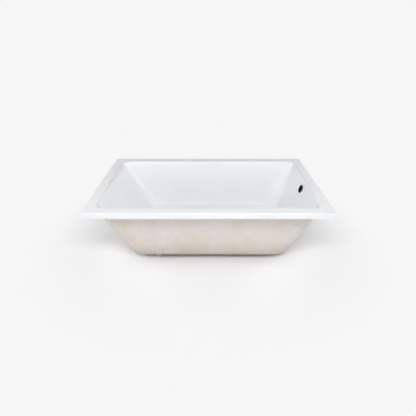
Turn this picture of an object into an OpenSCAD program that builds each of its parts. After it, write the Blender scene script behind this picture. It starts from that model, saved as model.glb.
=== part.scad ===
// Drop-in bathtub: a white acrylic shell over an insulated, glass-fibre skinned body, on four
// screw feet, with a low waste and overflow set under the drain end.
// Millimetres. +X points to the drain end, -X to the backrest, +Y to the back, +Z up.
// The origin lies on the ground under the middle of the rim.

/* [Rim] */
// Length of the rim, end to end
rim_length = 1524; // [1450:1:1750]
// Width of the rim, front to back
rim_width = 813; // [760:1:900]
// Height of the lip that hangs from the edge of the rim
lip_height = 38; // [30:1:60]
// Corner radius of the rim, seen from above
rim_corner = 12; // [12:1:30]
// Radius of the rim's outer top edge
rim_edge = 7; // [6:0.5:11]

/* [Basin] */
// Depth of the basin floor below the rim, at the drain
basin_depth = 391; // [340:1:430]
// Height of the basin floor above the ground at the drain, with the feet screwed in
floor_height = 49; // [49:1:75]
// Rim edge to the wall line, on both long sides
deck_side = 71; // [68:1:100]
// Rim edge to the wall line, at the backrest
deck_head = 77; // [74:1:140]
// Rim edge to the wall line, at the drain end
deck_foot = 72; // [71:1:110]
// Slope of the two long walls from upright, in degrees
side_slope = 3.4; // [2:0.1:9]
// Slope of the backrest from upright, in degrees
head_slope = 27; // [18:0.5:32]
// Slope of the drain end from upright, in degrees
foot_slope = 17; // [12:0.5:19]
// Radius of the rolled edge between deck and walls
mouth_edge = 15; // [11:0.5:20]
// Radius between walls and floor
floor_fillet = 22; // [20:1:40]
// Corner radius beside the backrest, at the rim
head_corner_top = 40; // [30:1:80]
// Corner radius beside the backrest, at the floor
head_corner_low = 32; // [32:1:80]
// Corner radius at the drain end, at the rim
foot_corner_top = 40; // [40:1:110]
// Corner radius at the drain end, at the floor
foot_corner_low = 128; // [60:1:150]
// Rise of the floor from the drain to the backrest, per metre
floor_fall = 3; // [0:0.5:6]

/* [Layers] */
// Thickness of the acrylic sheet
acrylic_t = 4; // [3:0.5:6]
// Thickness of the insulating foam in the walls
foam_t = 15; // [10:1:20]
// Thickness of the outer glass-fibre skin
skin_t = 5; // [3:0.5:6]
// Thickness of the base board under the floor
board_t = 15; // [12:1:18]
// Distance of the board's edges inside the flat of the floor
board_margin = 4; // [2:1:12]
// Gap between the board's edges and the foam round them
board_gap = 0.6; // [0.5:0.1:1]
// Radius of the skin's bottom edge
skin_fillet = 50; // [40:1:60]
// Radius between the skin's wall and its flange under the deck
flange_fillet = 8; // [4:1:10]
// Glue line between bonded layers
glue = 0.1; // [0.05:0.05:0.3]

/* [Rim battens] */
// Width of the battens under the deck
batten_w = 18; // [14:1:22]
// Thickness of the battens under the deck
batten_t = 18; // [12:1:20]
// Gap between a batten and the body's wall
batten_gap = 2; // [1:0.5:5]
// Radius of the battens' lower edges
batten_edge = 3; // [1:0.5:5]

/* [Feet] */
// Backrest feet, in from the backrest end of the base board
head_foot_end = 113; // [60:1:160]
// Backrest feet, in from the long edges of the base board
head_foot_side = 18; // [16:1:80]
// Drain-end feet, in from the drain end of the base board
drain_foot_end = 176; // [156:1:240]
// Drain-end feet, in from the long edges of the base board
drain_foot_side = 79; // [66:1:120]
// Diameter of a foot pad
pad_d = 54; // [40:1:60]
// Height of a pad's disc
pad_disc_h = 12; // [8:0.5:14]
// Diameter of a pad's neck
pad_neck_d = 28; // [22:1:34]
// Radius of a pad's edges
pad_edge = 3; // [1:0.5:4]
// Diameter of a foot's screw
screw_d = 12; // [10:1:14]
// Diameter of the screw's swivel head in the pad
swivel_d = 18; // [16:1:20]
// Height of the screw's swivel head in the pad
swivel_h = 5; // [4:0.5:6]
// Width across flats of a lock nut
nut_af = 19; // [19:1:24]
// Thickness of a lock nut
nut_t = 5; // [4:0.5:6]
// Diameter of the insert's barrel in the base board
insert_d = 17; // [17:0.5:20]
// Diameter of the insert's flange
insert_flange_d = 26; // [22:1:30]
// Thickness of the insert's flange
insert_flange_t = 2; // [1:0.5:3]
// Radial clearance of a screw in its insert, its nut and its pad
screw_clear = 0.06; // [0.03:0.01:0.1]
// Gap between pieces that move past each other
run_gap = 0.4; // [0.3:0.1:0.6]

/* [Waste] */
// Drain centre from the drain-end edge of the rim
drain_inset = 270; // [262:1:300]
// Diameter of the hole in the basin floor
drain_hole_d = 52; // [50:1:56]
// Diameter of the drain flange
drain_flange_d = 70; // [66:1:76]
// Thickness of the drain flange at its middle
drain_flange_t = 3; // [2:0.5:4]
// Outer diameter of the drain's barrel
barrel_d = 48; // [44:1:49]
// Wall of the drain's barrel
barrel_wall = 3; // [2:0.5:4]
// Diameter of the plug
plug_d = 56; // [50:1:60]
// Diameter of the plug's stem
plug_stem_d = 8; // [6:0.5:9]
// Radial clearance of the plug's stem
plug_clear = 0.08; // [0.03:0.01:0.1]
// Lift of the plug when it is open
plug_lift = 9; // [6:0.5:10]
// Thickness of the rubber washers
washer_t = 3; // [2:0.5:4]
// Distance of the washers' edges inside the flanges on them
washer_set = 1; // [0.5:0.5:3]
// Outer diameter of the waste shoe
shoe_d = 66; // [62:1:74]
// Outer diameter of the shoe's flange
shoe_flange_d = 84; // [80:1:92]
// Outer diameter of the waste and overflow tubes
tube_d = 32; // [28:1:32]
// Wall of the tubes
tube_wall = 2; // [1.5:0.5:3]
// Wall of the moulded fittings
fitting_wall = 3.4; // [3:0.1:3.5]
// Face of the basin floor to the waste tube's axis, at the drain
waste_drop = 25.5; // [25:0.1:26]
// Radial clearance of a tube in its socket
socket_clear = 0.1; // [0.05:0.05:0.2]
// Depth of a tube in its socket
socket_depth = 14; // [10:1:18]
// Length of a slip nut
slip_nut_l = 15; // [12:1:18]
// Outer diameter of a slip nut
slip_nut_d = 45; // [44:0.5:46]
// Thickness of a slip nut's front
nut_front_t = 3; // [2:0.5:4]
// Gap between the slip nuts and what stands beside them
nut_gap = 2; // [1:0.5:4]
// Outer diameter of the outlet spigot's collar
collar_d = 38; // [36:1:44]
// Thickness of that collar
collar_t = 3; // [2:0.5:5]
// Length of the outlet spigot beyond its collar
outlet_length = 80; // [60:1:84]
// Half width of the channel that the waste tube lies in
channel_half = 24; // [23.5:0.5:30]

/* [Overflow] */
// Depth of the overflow's centre below the rim
overflow_depth = 62; // [58:1:90]
// Diameter of the overflow hole
overflow_hole_d = 54; // [52:1:58]
// Diameter of the black ring in the basin
overflow_ring_d = 61; // [61:1:70]
// Thickness of that ring
overflow_ring_t = 2.5; // [2:0.5:4]
// Outer diameter of the ring's neck in the hole
overflow_neck_d = 51; // [48:1:51]
// Wall of the ring's neck
overflow_neck_wall = 3; // [2:0.5:4]
// Length of the neck beyond the washer behind the body
overflow_neck_grip = 12; // [8:1:16]
// Width of the bars across the ring's mouth
overflow_bar_w = 3; // [2:0.5:5]
// Depth of those bars
overflow_bar_t = 4; // [3:0.5:8]
// Set-back of those bars in the mouth
overflow_bar_set = 2; // [1:0.5:5]
// Outer diameter of the elbow's flange
elbow_flange_d = 72; // [68:1:78]
// Thickness of the elbow's flange
elbow_flange_t = 4; // [3:0.5:5]
// Reach of the elbow from its flange to its bend
elbow_reach = 21; // [20.5:0.5:22]

/* [Hidden] */

// Colours as they show
white = [0.95, 0.95, 0.97];
beige = [0.80, 0.76, 0.71];
foam_yellow = [0.88, 0.80, 0.58];
board_brown = [0.66, 0.52, 0.36];
timber = [0.78, 0.64, 0.44];
pad_grey = [0.70, 0.68, 0.65];
steel = [0.72, 0.73, 0.75];
bright = [0.86, 0.87, 0.89];
black = [0.08, 0.08, 0.09];
rubber_black = [0.13, 0.13, 0.13];

// Steps round each corner of a skinned loop, and along each rolled edge
corner_steps = 10;
edge_steps = 6;
$fn = 96;

// Least radius of a skinned loop's corner
min_corner = 1;
// How far a cut runs past the faces that it goes through
past = 1;

// Half sizes and levels that several pieces share
rim_height = basin_depth + floor_height;
waste_z = floor_height - waste_drop;
half_l = rim_length / 2;
half_w = rim_width / 2;
drain_x = half_l - drain_inset;
foam_in = acrylic_t + glue;
foam_out = foam_in + foam_t;
skin_in = foam_out + glue;
skin_out = skin_in + skin_t;
board_top = basin_depth + foam_in + glue;
board_bottom = board_top + board_t;
skin_floor = board_bottom + glue;
skin_bottom = skin_floor + skin_t;
base_z = rim_height - skin_bottom;
skin_inner_fillet = skin_fillet - skin_t;

// Where the sloping walls' lines meet the deck, and how each layer and fillet moves them.
// A wall is [reach of its line at the rim, slope from upright].
head_wall = [half_l - deck_head, head_slope];
foot_wall = [half_l - deck_foot, foot_slope];
long_wall = [half_w - deck_side, side_slope];

// Reach of a wall from the middle at depth q. A layer is [offset from the basin's face,
// depth of its top, top radius, depth of its bottom, bottom radius]: the arcs at the top roll
// out to the deck and the arcs at the bottom roll in to the floor.
function wall_reach(wall, layer, q) =
    let (
        slope = wall[1],
        line = wall[0] + layer[0] / cos(slope) - tan(slope) * q,
        top_z = layer[1] + layer[2],
        low_z = layer[3] - layer[4],
        top_x = line + tan(slope) * (q - top_z) + layer[2] / cos(slope),
        low_x = line + tan(slope) * (q - low_z) - layer[4] / cos(slope),
        on_top = q < top_z - layer[2] * sin(slope),
        on_low = q > low_z + layer[4] * sin(slope)
    )
    on_top ? top_x - sqrt(max(0, pow(layer[2], 2) - pow(top_z - q, 2))) :
    on_low ? low_x + sqrt(max(0, pow(layer[4], 2) - pow(q - low_z, 2))) :
    line;

// How far an arc moves a layer's wall out from its straight line, taken on the long walls
function flare(layer, q) = wall_reach(long_wall, layer, q)
    - (long_wall[0] + layer[0] / cos(side_slope) - tan(side_slope) * q);

// Corner radii change evenly from the rim to the floor, and grow with a layer's offset
function corner_at(top, low, layer, q) =
    max(min_corner, top + (low - top) * q / basin_depth + layer[0] + flare(layer, q));

// The floor's rise at x, for a loop that takes part of the fall
function fall_at(x, share) = share * floor_fall / 1000 * (drain_x - x);

// One closed loop: a level rectangle with rounded corners, seen from above
function loop(xl, xr, yh, rl, rr, z, share = 0) = [
    for (quarter = [0:3], step = [0:corner_steps])
        let (
            a = 90 * (quarter - 1) + 90 * step / corner_steps,
            r = quarter < 2 ? rr : rl,
            cx = quarter < 2 ? xr - r : r - xl,
            cy = (quarter == 0 || quarter == 3) ? r - yh : yh - r,
            x = cx + r * cos(a)
        )
        [x, cy + r * sin(a), z + fall_at(x, share)]
];

// The loop of one layer at depth q
function basin_loop(layer, q, share = 0) = loop(
    wall_reach(head_wall, layer, q),
    wall_reach(foot_wall, layer, q),
    wall_reach(long_wall, layer, q),
    corner_at(head_corner_top, head_corner_low, layer, q),
    corner_at(foot_corner_top, foot_corner_low, layer, q),
    rim_height - q,
    share
);

// A loop parallel to the rim's edge, inset from it
function rim_loop(inset, q) = loop(
    half_l - inset, half_l - inset, half_w - inset,
    max(min_corner, rim_corner - inset), max(min_corner, rim_corner - inset), rim_height - q
);

// Depths along the arcs of a layer, from its top down and from its wall to its floor
function top_depths(layer) = layer[2] == 0 ? [layer[1]] : [
    for (i = [0:edge_steps]) layer[1] + layer[2] * (1 - cos(90 * i / edge_steps))
];
function low_depths(layer) = [
    for (i = [0:edge_steps]) layer[3] - layer[4] * (1 - sin(90 * i / edge_steps))
];

// All loops of a layer's face from the deck down to the floor
function face_loops(layer) = concat(
    [for (q = top_depths(layer)) basin_loop(layer, q)],
    [for (q = low_depths(layer)) basin_loop(layer, q, max(0, (q - layer[3] + layer[4]) / layer[4]))]
);

function reversed(list) = [for (i = [len(list) - 1:-1:0]) list[i]];

// Triangles between the loops of a stack. Each quad is cut the same way whether its band runs
// down or up, so that the facets of neighbouring layers stay parallel.
function band_faces(loops, closed) = [
    for (i = [0:len(loops) - (closed ? 1 : 2)], k = [0:len(loops[0]) - 1], half = [0:1])
        let (
            n = len(loops[0]),
            next = (i + 1) % len(loops),
            a = i * n + k,
            b = i * n + (k + 1) % n,
            c = next * n + (k + 1) % n,
            d = next * n + k
        )
        loops[i][0][2] > loops[next][0][2] ?
            (half == 0 ? [a, b, c] : [a, c, d]) :
            (half == 0 ? [a, b, d] : [b, c, d])
];

// A solid with flat ends through a stack of loops, first loop's end facing up
module capped_stack(loops) {
    n = len(loops[0]);
    count = len(loops);
    polyhedron(
        points = [for (l = loops) each l],
        faces = concat(
            [[for (k = [n - 1:-1:0]) k]],
            band_faces(loops, false),
            [[for (k = [0:n - 1]) (count - 1) * n + k]]
        ),
        convexity = 10
    );
}

// A ring-shaped solid through a stack of loops that closes on itself
module ring_stack(loops) polyhedron(
    points = [for (l = loops) each l],
    faces = band_faces(loops, true),
    convexity = 10
);

// Layers of the body: the basin's face, the acrylic's back, both faces of the foam and of the skin
basin_face = [0, 0, mouth_edge, basin_depth, floor_fillet];
acrylic_back = [
    acrylic_t, acrylic_t, mouth_edge - acrylic_t, basin_depth + acrylic_t, floor_fillet + acrylic_t
];
foam_face = [foam_in, foam_in, mouth_edge - foam_in, basin_depth + foam_in, floor_fillet + foam_in];
foam_back = [foam_out, foam_in, 0, board_bottom, skin_inner_fillet - glue];
skin_face = [skin_in, foam_in, 0, skin_floor, skin_inner_fillet];
skin_back = [skin_out, foam_in + skin_t, flange_fillet, skin_bottom, skin_fillet];

// The base board's edges lie inside both faces of the foam's foot
function board_reach(wall) = -board_margin + min(
    wall_reach(wall, foam_face, foam_face[3]), wall_reach(wall, foam_back, foam_back[3])
);
function board_corner(top, low) = corner_at(top, low, foam_back, foam_back[3]);
function board_loop(q, grow) = loop(
    board_reach(head_wall) + grow, board_reach(foot_wall) + grow, board_reach(long_wall) + grow,
    board_corner(head_corner_top, head_corner_low) + grow,
    board_corner(foot_corner_top, foot_corner_low) + grow,
    rim_height - q, 1
);

// Rolled edge of the rim: loops from the deck to the lip, on the outside or the inside
function rim_roll(inset) = [
    for (i = [0:edge_steps])
        let (a = 90 * i / edge_steps, r = rim_edge - inset)
        rim_loop(rim_edge - r * sin(a), rim_edge - r * cos(a))
];

// Frames that pieces share: the drain's axis, the waste tube's axis and the overflow's axis
drain_under_z = floor_height - acrylic_t;
overflow_x = foot_wall[0] - tan(foot_slope) * overflow_depth;
overflow_z = rim_height - overflow_depth;
overflow_run = skin_out + washer_t + elbow_reach;
bend_x = overflow_x + overflow_run * cos(foot_slope);
bend_z = overflow_z - overflow_run * sin(foot_slope);
tube_run = (bend_z - waste_z) / cos(foot_slope);
tee_x = bend_x - tube_run * sin(foot_slope);

module at_drain(z) translate([drain_x, 0, z]) children();

// Local +Z points along the waste tube, to the drain end
module along_waste(x) translate([x, 0, waste_z]) rotate([0, 90, 0]) children();

// Local +Z points out of the basin through the sloping end wall, and +X down along the wall
module at_overflow(out) translate([overflow_x, 0, overflow_z])
    rotate([0, 90 + foot_slope, 0]) translate([0, 0, out]) children();

// Local +Z points down the overflow tube from the bend, parallel to the end wall
module down_overflow(run) at_overflow(overflow_run) rotate([0, 90, 0]) translate([0, 0, run]) children();

module ring(r_out, r_in, h) difference() {
    cylinder(r = r_out, h = h);
    translate([0, 0, -past]) cylinder(r = r_in, h = h + 2 * past);
}

// The round-topped channel in which the waste tube runs out under the drain end
module waste_channel() along_waste(drain_x) linear_extrude(half_l - drain_x) {
    circle(r = channel_half);
    translate([0, -channel_half]) square([waste_z + past, 2 * channel_half]);
}

// The round opening under the drain that the waste shoe hangs in
module shoe_opening() at_drain(-past) cylinder(r = shoe_flange_d / 2 + washer_t, h = floor_height);

module overflow_cut(d) at_overflow(-mouth_edge) cylinder(d = d, h = skin_out + 2 * mouth_edge);

module acrylic_shell() color(white) difference() {
    capped_stack(concat(
        reversed(face_loops(basin_face)),
        rim_roll(0),
        [rim_loop(0, lip_height), rim_loop(acrylic_t, lip_height)],
        reversed(rim_roll(acrylic_t)),
        face_loops(acrylic_back)
    ));
    at_drain(drain_under_z - past) cylinder(d = drain_hole_d, h = acrylic_t + 2 * past);
    overflow_cut(overflow_hole_d);
}

module insulating_foam() color(foam_yellow) difference() {
    ring_stack(concat(
        reversed(face_loops(foam_face)),
        face_loops(foam_back),
        [board_loop(board_bottom, board_gap), board_loop(foam_face[3], board_gap)]
    ));
    waste_channel();
    overflow_cut(overflow_hole_d);
}

module glass_fibre_skin() color(beige) difference() {
    capped_stack(concat(
        reversed(face_loops(skin_face)),
        [rim_loop(rim_edge, skin_face[1]), rim_loop(rim_edge, skin_back[1])],
        face_loops(skin_back)
    ));
    waste_channel();
    shoe_opening();
    overflow_cut(overflow_hole_d);
    each_foot() translate([0, 0, base_z - past])
        cylinder(d = insert_d, h = skin_t + board_t);
}

// Places of the feet, from the middle of the rim
head_foot_x = head_foot_end - board_reach(head_wall);
head_foot_y = board_reach(long_wall) - head_foot_side;
drain_foot_x = board_reach(foot_wall) - drain_foot_end;
drain_foot_y = board_reach(long_wall) - drain_foot_side;
FEET = [
    [head_foot_x, -head_foot_y], [head_foot_x, head_foot_y],
    [drain_foot_x, -drain_foot_y], [drain_foot_x, drain_foot_y]
];
module at_foot(i) translate([FEET[i][0], FEET[i][1], 0]) children();
module each_foot() for (i = [0:3]) at_foot(i) children();
function insert_z(i) = rim_height - board_bottom + fall_at(FEET[i][0], 1);

// Plate with rounded corners, drawn from its reaches to the backrest, drain end and long sides
module rounded_plate(head, foot, side, r_head, r_foot, t) linear_extrude(t) {
    translate([-head + r_head, -side]) square([head + foot - r_head - r_foot, 2 * side]);
    translate([-head, -side + r_head]) square([head, 2 * (side - r_head)]);
    translate([0, -side + r_foot]) square([foot, 2 * (side - r_foot)]);
    for (s = [-1, 1]) {
        translate([-head + r_head, s * (side - r_head)]) circle(r = r_head);
        translate([foot - r_foot, s * (side - r_foot)]) circle(r = r_foot);
    }
}

module base_board() color(board_brown) difference() {
    translate([drain_x, 0, rim_height - board_bottom]) rotate([0, atan(floor_fall / 1000), 0])
        translate([-drain_x, 0, 0]) rounded_plate(
            board_reach(head_wall), board_reach(foot_wall), board_reach(long_wall),
            board_corner(head_corner_top, head_corner_low),
            board_corner(foot_corner_top, foot_corner_low), board_t
        );
    waste_channel();
    shoe_opening();
    for (i = [0:3]) at_foot(i) translate([0, 0, insert_z(i)]) {
        translate([0, 0, -board_t]) cylinder(d = insert_d + 2 * glue, h = 2 * board_t + past);
        translate([0, 0, board_t - insert_flange_t - glue])
            cylinder(d = insert_flange_d + 2 * glue, h = board_t);
    }
}

// The battens stand beside the body's wall and leave a ledge for the deck inside the lip
function batten_face(wall) = wall_reach(wall, skin_back, skin_back[1]) + batten_gap;
batten_z = rim_height - skin_back[1] - glue - batten_t;
side_face = batten_face(long_wall);
head_end = batten_face(head_wall) + batten_w;
foot_end = batten_face(foot_wall) + batten_w;

// A batten along X, on its own middle, with its lower edges rounded
module batten(l) rotate([90, 0, 90]) translate([-batten_w / 2, 0, -l / 2]) linear_extrude(l) {
    translate([batten_edge, 0]) square([batten_w - 2 * batten_edge, batten_t]);
    translate([0, batten_edge]) square([batten_w, batten_t - batten_edge]);
    for (x = [batten_edge, batten_w - batten_edge]) translate([x, batten_edge]) circle(r = batten_edge);
}

// The long battens cover the ends of the short ones
module long_batten(side) color(timber)
    translate([(foot_end - head_end) / 2, side * (side_face + batten_w / 2), batten_z])
        batten(head_end + foot_end);

module end_batten(x) color(timber) translate([x, 0, batten_z]) rotate(90) batten(2 * (side_face - glue));

module front_batten() long_batten(-1);
module back_batten() long_batten(1);
module backrest_batten() end_batten(batten_w / 2 - head_end);
module drain_end_batten() end_batten(foot_end - batten_w / 2);

pad_h = base_z - nut_t - run_gap;
neck_edge = min(pad_edge, (pad_h - pad_disc_h) / 2);
swivel_z = pad_disc_h - swivel_h - 2 * run_gap;

module foot_insert(i) translate([0, 0, insert_z(i)]) difference() {
    union() {
        cylinder(d = insert_d, h = board_t - 2 * glue);
        translate([0, 0, board_t - insert_flange_t])
            cylinder(d = insert_flange_d, h = insert_flange_t - glue);
    }
    translate([0, 0, -past]) cylinder(r = screw_d / 2 + screw_clear, h = board_t + 2 * past);
}

module foot_inserts() color(steel) for (i = [0:3]) at_foot(i) foot_insert(i);

module lock_nut() difference() {
    cylinder(d = nut_af / cos(30), h = nut_t, $fn = 6);
    translate([0, 0, -past]) cylinder(r = screw_d / 2 + screw_clear, h = nut_t + 2 * past);
}

module foot_lock_nuts() color(steel) each_foot() translate([0, 0, base_z - nut_t]) lock_nut();

// The screw stands in the pad on its swivel head and ends just under the basin
module foot_screw() color(steel) {
    translate([0, 0, swivel_z]) cylinder(d = swivel_d, h = swivel_h);
    translate([0, 0, swivel_z]) cylinder(d = screw_d, h = rim_height - board_top - run_gap - swivel_z);
}

// Half of a disc's section with rounded edges, on the axis
module disc_section(r, h, edge) intersection() {
    union() {
        square([r - edge, h]);
        translate([0, edge]) square([r, h - 2 * edge]);
        translate([r - edge, edge]) circle(r = edge);
        translate([r - edge, h - edge]) circle(r = edge);
    }
    square([r, h]);
}

module foot_pad() color(pad_grey) difference() {
    union() {
        rotate_extrude() disc_section(pad_d / 2, pad_disc_h, pad_edge);
        cylinder(d = pad_neck_d, h = pad_h);
        translate([0, 0, pad_disc_h])
            cylinder(d1 = pad_neck_d + 2 * neck_edge, d2 = pad_neck_d, h = neck_edge);
    }
    translate([0, 0, swivel_z - run_gap]) cylinder(d = swivel_d + 2 * run_gap, h = swivel_h + 2 * run_gap);
    translate([0, 0, swivel_z]) cylinder(r = screw_d / 2 + screw_clear, h = pad_h);
}

module foot_screw_front_head() at_foot(0) foot_screw();
module foot_screw_back_head() at_foot(1) foot_screw();
module foot_screw_front_drain() at_foot(2) foot_screw();
module foot_screw_back_drain() at_foot(3) foot_screw();
module foot_pad_front_head() at_foot(0) foot_pad();
module foot_pad_back_head() at_foot(1) foot_pad();
module foot_pad_front_drain() at_foot(2) foot_pad();
module foot_pad_back_drain() at_foot(3) foot_pad();

// Waste: levels in the drain, from the floor's face up and from its back down
seal_t = washer_t / 2;
seal_z = floor_height + fall_at(drain_x - drain_flange_d / 2, 1) + glue;
flange_z = seal_z + seal_t;
shoe_washer_z = drain_under_z - fall_at(drain_x - shoe_flange_d / 2, 1) - washer_t;
shoe_top = shoe_washer_z;
shoe_bottom = waste_z - tube_d / 2 - fitting_wall;
barrel_r = barrel_d / 2;
bore_r = barrel_r - barrel_wall;
barrel_bottom = waste_z + tube_d / 2 - fitting_wall;
// The flange's dish: room round the plug, and thickness left under it at the bore
plug_room = 1;
dish_floor_t = drain_flange_t / 3;
// The hub for the plug's stem, as high as its arms
hub_r = plug_stem_d / 2 + barrel_wall;
hub_t = 8;
hub_z = drain_under_z - hub_t;
socket_r = tube_d / 2 + fitting_wall;
socket_bore = tube_d / 2 + socket_clear;
tube_bore = tube_d / 2 - tube_wall;

// The tee's sockets are as long as its slip nuts need to clear the leaning branch and each other
nut_cover = slip_nut_l - washer_t - nut_front_t;
tee_half = nut_cover + nut_gap + slip_nut_d / 2 * tan(foot_slope) + socket_r / cos(foot_slope);
tee_branch = nut_cover + (nut_gap + slip_nut_d / 2 * (1 + sin(foot_slope))) / cos(foot_slope);

module drain_seal() color(rubber_black)
    at_drain(seal_z) ring(drain_flange_d / 2 - washer_set, barrel_r + glue, seal_t);

// A dished flange with a rolled rim over a barrel, with a hub on four arms for the plug's stem
module drain_flange() color(bright) at_drain(0) difference() {
    union() {
        translate([0, 0, flange_z]) rotate_extrude() difference() {
            disc_section(drain_flange_d / 2, drain_flange_t, drain_flange_t / 2 - glue);
            polygon([
                [0, -past], [bore_r, -past], [bore_r, dish_floor_t],
                [plug_d / 2 + plug_room, drain_flange_t], [plug_d / 2 + plug_room, drain_flange_t + past],
                [0, drain_flange_t + past]
            ]);
        }
        translate([0, 0, barrel_bottom])
            ring(barrel_r, bore_r, flange_z - barrel_bottom + dish_floor_t);
        translate([0, 0, hub_z]) cylinder(r = hub_r, h = hub_t);
        for (a = [0:90:270]) rotate(a) translate([0, -barrel_wall / 2, hub_z])
            cube([bore_r + barrel_wall / 2, barrel_wall, hub_t]);
    }
    translate([0, 0, hub_z - past]) cylinder(r = plug_stem_d / 2 + plug_clear, h = hub_t + 2 * past);
}

plug_z = flange_z + drain_flange_t + run_gap;
// Height of the plug's edge and of its crown above that
plug_edge_t = 3;
plug_crown = 3;
// Radius of the sphere that gives the plug its crown
plug_sphere = (pow(plug_d / 2, 2) + pow(plug_crown, 2)) / (2 * plug_crown);
// The stop under the hub: how far it stands out from the stem, and its thickness
stop_lip = 1.5;
stop_t = 2;

// A crowned cap on a stem, with a stop that meets the hub when the plug is up
module drain_plug() color(bright) at_drain(0) {
    translate([0, 0, plug_z]) rotate_extrude() intersection() {
        square([plug_d / 2, plug_edge_t + plug_crown]);
        translate([0, plug_edge_t + plug_crown - plug_sphere]) circle(r = plug_sphere, $fn = 720);
    }
    translate([0, 0, hub_z - plug_lift - run_gap])
        cylinder(d = plug_stem_d, h = plug_z + past - hub_z + plug_lift + run_gap);
    translate([0, 0, hub_z - plug_lift - run_gap - stop_t])
        cylinder(r = plug_stem_d / 2 + stop_lip, h = stop_t);
}

module shoe_washer() color(rubber_black) at_drain(shoe_washer_z)
    ring(shoe_flange_d / 2 - washer_set, drain_hole_d / 2, washer_t);

// A low cup under the drain with a flange above and a socket towards the drain end, whose crown
// is cut flush with the flange
module waste_shoe() color(black) difference() {
    union() {
        at_drain(shoe_bottom) cylinder(d = shoe_d, h = shoe_top - shoe_bottom);
        at_drain(shoe_top - fitting_wall) cylinder(d = shoe_flange_d, h = fitting_wall);
        along_waste(drain_x) cylinder(r = socket_r, h = shoe_socket_end - drain_x);
    }
    at_drain(shoe_top) cylinder(d = shoe_flange_d + 2 * glue, h = socket_r);
    at_drain(barrel_bottom - past) cylinder(r = barrel_r + glue, h = shoe_top);
    at_drain(shoe_bottom + fitting_wall)
        cylinder(r = shoe_d / 2 - fitting_wall, h = shoe_top - shoe_bottom - 2 * fitting_wall);
    along_waste(drain_x) cylinder(r = tube_bore, h = shoe_socket_end - drain_x + past);
    along_waste(shoe_socket_end - socket_depth) cylinder(r = socket_bore, h = socket_depth + past);
}
shoe_socket_end = drain_x + shoe_d / 2 + socket_depth + fitting_wall;

module tube(h) ring(tube_d / 2, tube_bore, h);

module waste_tube() color(black) along_waste(shoe_socket_end - socket_depth + run_gap)
    tube(tee_x - tee_half - shoe_socket_end + 2 * socket_depth - 2 * run_gap);

// The collar keeps the slip nut on the spigot and stops the trap's socket
collar_x = tee_x + tee_half + washer_t + nut_front_t + nut_gap;
module outlet_spigot() color(black) {
    along_waste(tee_x + tee_half - socket_depth + run_gap)
        tube(collar_x + collar_t + outlet_length - tee_x - tee_half + socket_depth - run_gap);
    along_waste(collar_x) ring(collar_d / 2, tube_d / 2 - tube_wall / 2, collar_t);
}

// Sockets along the waste tube and one up the overflow tube, which leans with the end wall
module waste_tee() color(black) difference() {
    union() {
        along_waste(tee_x - tee_half) cylinder(r = socket_r, h = 2 * tee_half);
        down_overflow(tube_run - tee_branch) cylinder(r = socket_r, h = tee_branch);
    }
    along_waste(tee_x - tee_half - past) cylinder(r = tube_bore, h = 2 * tee_half + 2 * past);
    down_overflow(tube_run - tee_branch - past) cylinder(r = tube_bore, h = tee_branch + past);
    for (end = [0, 1]) along_waste(tee_x + (end == 0 ? -tee_half - past : tee_half - socket_depth))
        cylinder(r = socket_bore, h = socket_depth + past);
    down_overflow(tube_run - tee_branch - past) cylinder(r = socket_bore, h = socket_depth + past);
}

// A slip nut over a socket's end at 0, with the tube going on along +Z
module slip_nut() difference() {
    translate([0, 0, washer_t + nut_front_t - slip_nut_l]) cylinder(d = slip_nut_d, h = slip_nut_l, $fn = 12);
    translate([0, 0, washer_t - slip_nut_l]) cylinder(r = socket_r + glue, h = slip_nut_l);
    cylinder(r = socket_bore + glue, h = slip_nut_l);
}
module slip_washer() translate([0, 0, glue]) ring(socket_r - glue, socket_bore, washer_t - 2 * glue);

// The four joints that slip nuts close: both ends of the tee, its branch and the elbow's outlet
elbow_r = overflow_neck_d / 2 + glue + fitting_wall;
elbow_socket_end = elbow_r + socket_depth + fitting_wall;
module each_slip_joint() {
    along_waste(tee_x - tee_half) rotate([180, 0, 0]) children();
    along_waste(tee_x + tee_half) children();
    down_overflow(tube_run - tee_branch) rotate([180, 0, 0]) children();
    down_overflow(elbow_socket_end) children();
}
module slip_nuts() color(black) each_slip_joint() slip_nut();
module slip_washers() color(rubber_black) each_slip_joint() slip_washer();

// A thin flange in the basin over a threaded neck, with crossed bars in its mouth
module overflow_ring() color(black) at_overflow(0) {
    difference() {
        union() {
            translate([0, 0, -overflow_ring_t]) rotate_extrude()
                disc_section(overflow_ring_d / 2, overflow_ring_t, overflow_ring_t / 2 - glue);
            cylinder(d = overflow_neck_d, h = neck_l);
        }
        translate([0, 0, -overflow_ring_t - past])
            cylinder(d = overflow_neck_d - 2 * overflow_neck_wall, h = neck_l + overflow_ring_t + 2 * past);
    }
    for (a = [0, 90]) rotate(a) translate([-bar_l / 2, -overflow_bar_w / 2, overflow_bar_set])
        cube([bar_l, overflow_bar_w, overflow_bar_t]);
}
neck_l = skin_out + washer_t + overflow_neck_grip;
bar_l = overflow_neck_d - overflow_neck_wall;

module overflow_washer() color(rubber_black) at_overflow(skin_out + glue)
    ring(elbow_flange_d / 2 - washer_set, overflow_neck_d / 2 + glue, washer_t - 2 * glue);

// A flanged cup on the ring's neck, closed behind, with a socket down along the wall
module overflow_elbow() color(black) {
    back = overflow_run + tube_d / 2 + fitting_wall;
    difference() {
        union() {
            at_overflow(skin_out + washer_t) cylinder(d = elbow_flange_d, h = elbow_flange_t);
            at_overflow(skin_out + washer_t) cylinder(r = elbow_r, h = back - skin_out - washer_t);
            down_overflow(0) cylinder(r = socket_r, h = elbow_socket_end);
        }
        at_overflow(skin_out) cylinder(r = overflow_neck_d / 2 + glue, h = back - skin_out - fitting_wall);
        down_overflow(0) cylinder(r = tube_bore, h = elbow_socket_end + past);
        down_overflow(elbow_socket_end - socket_depth) cylinder(r = socket_bore, h = socket_depth + past);
    }
}

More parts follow.
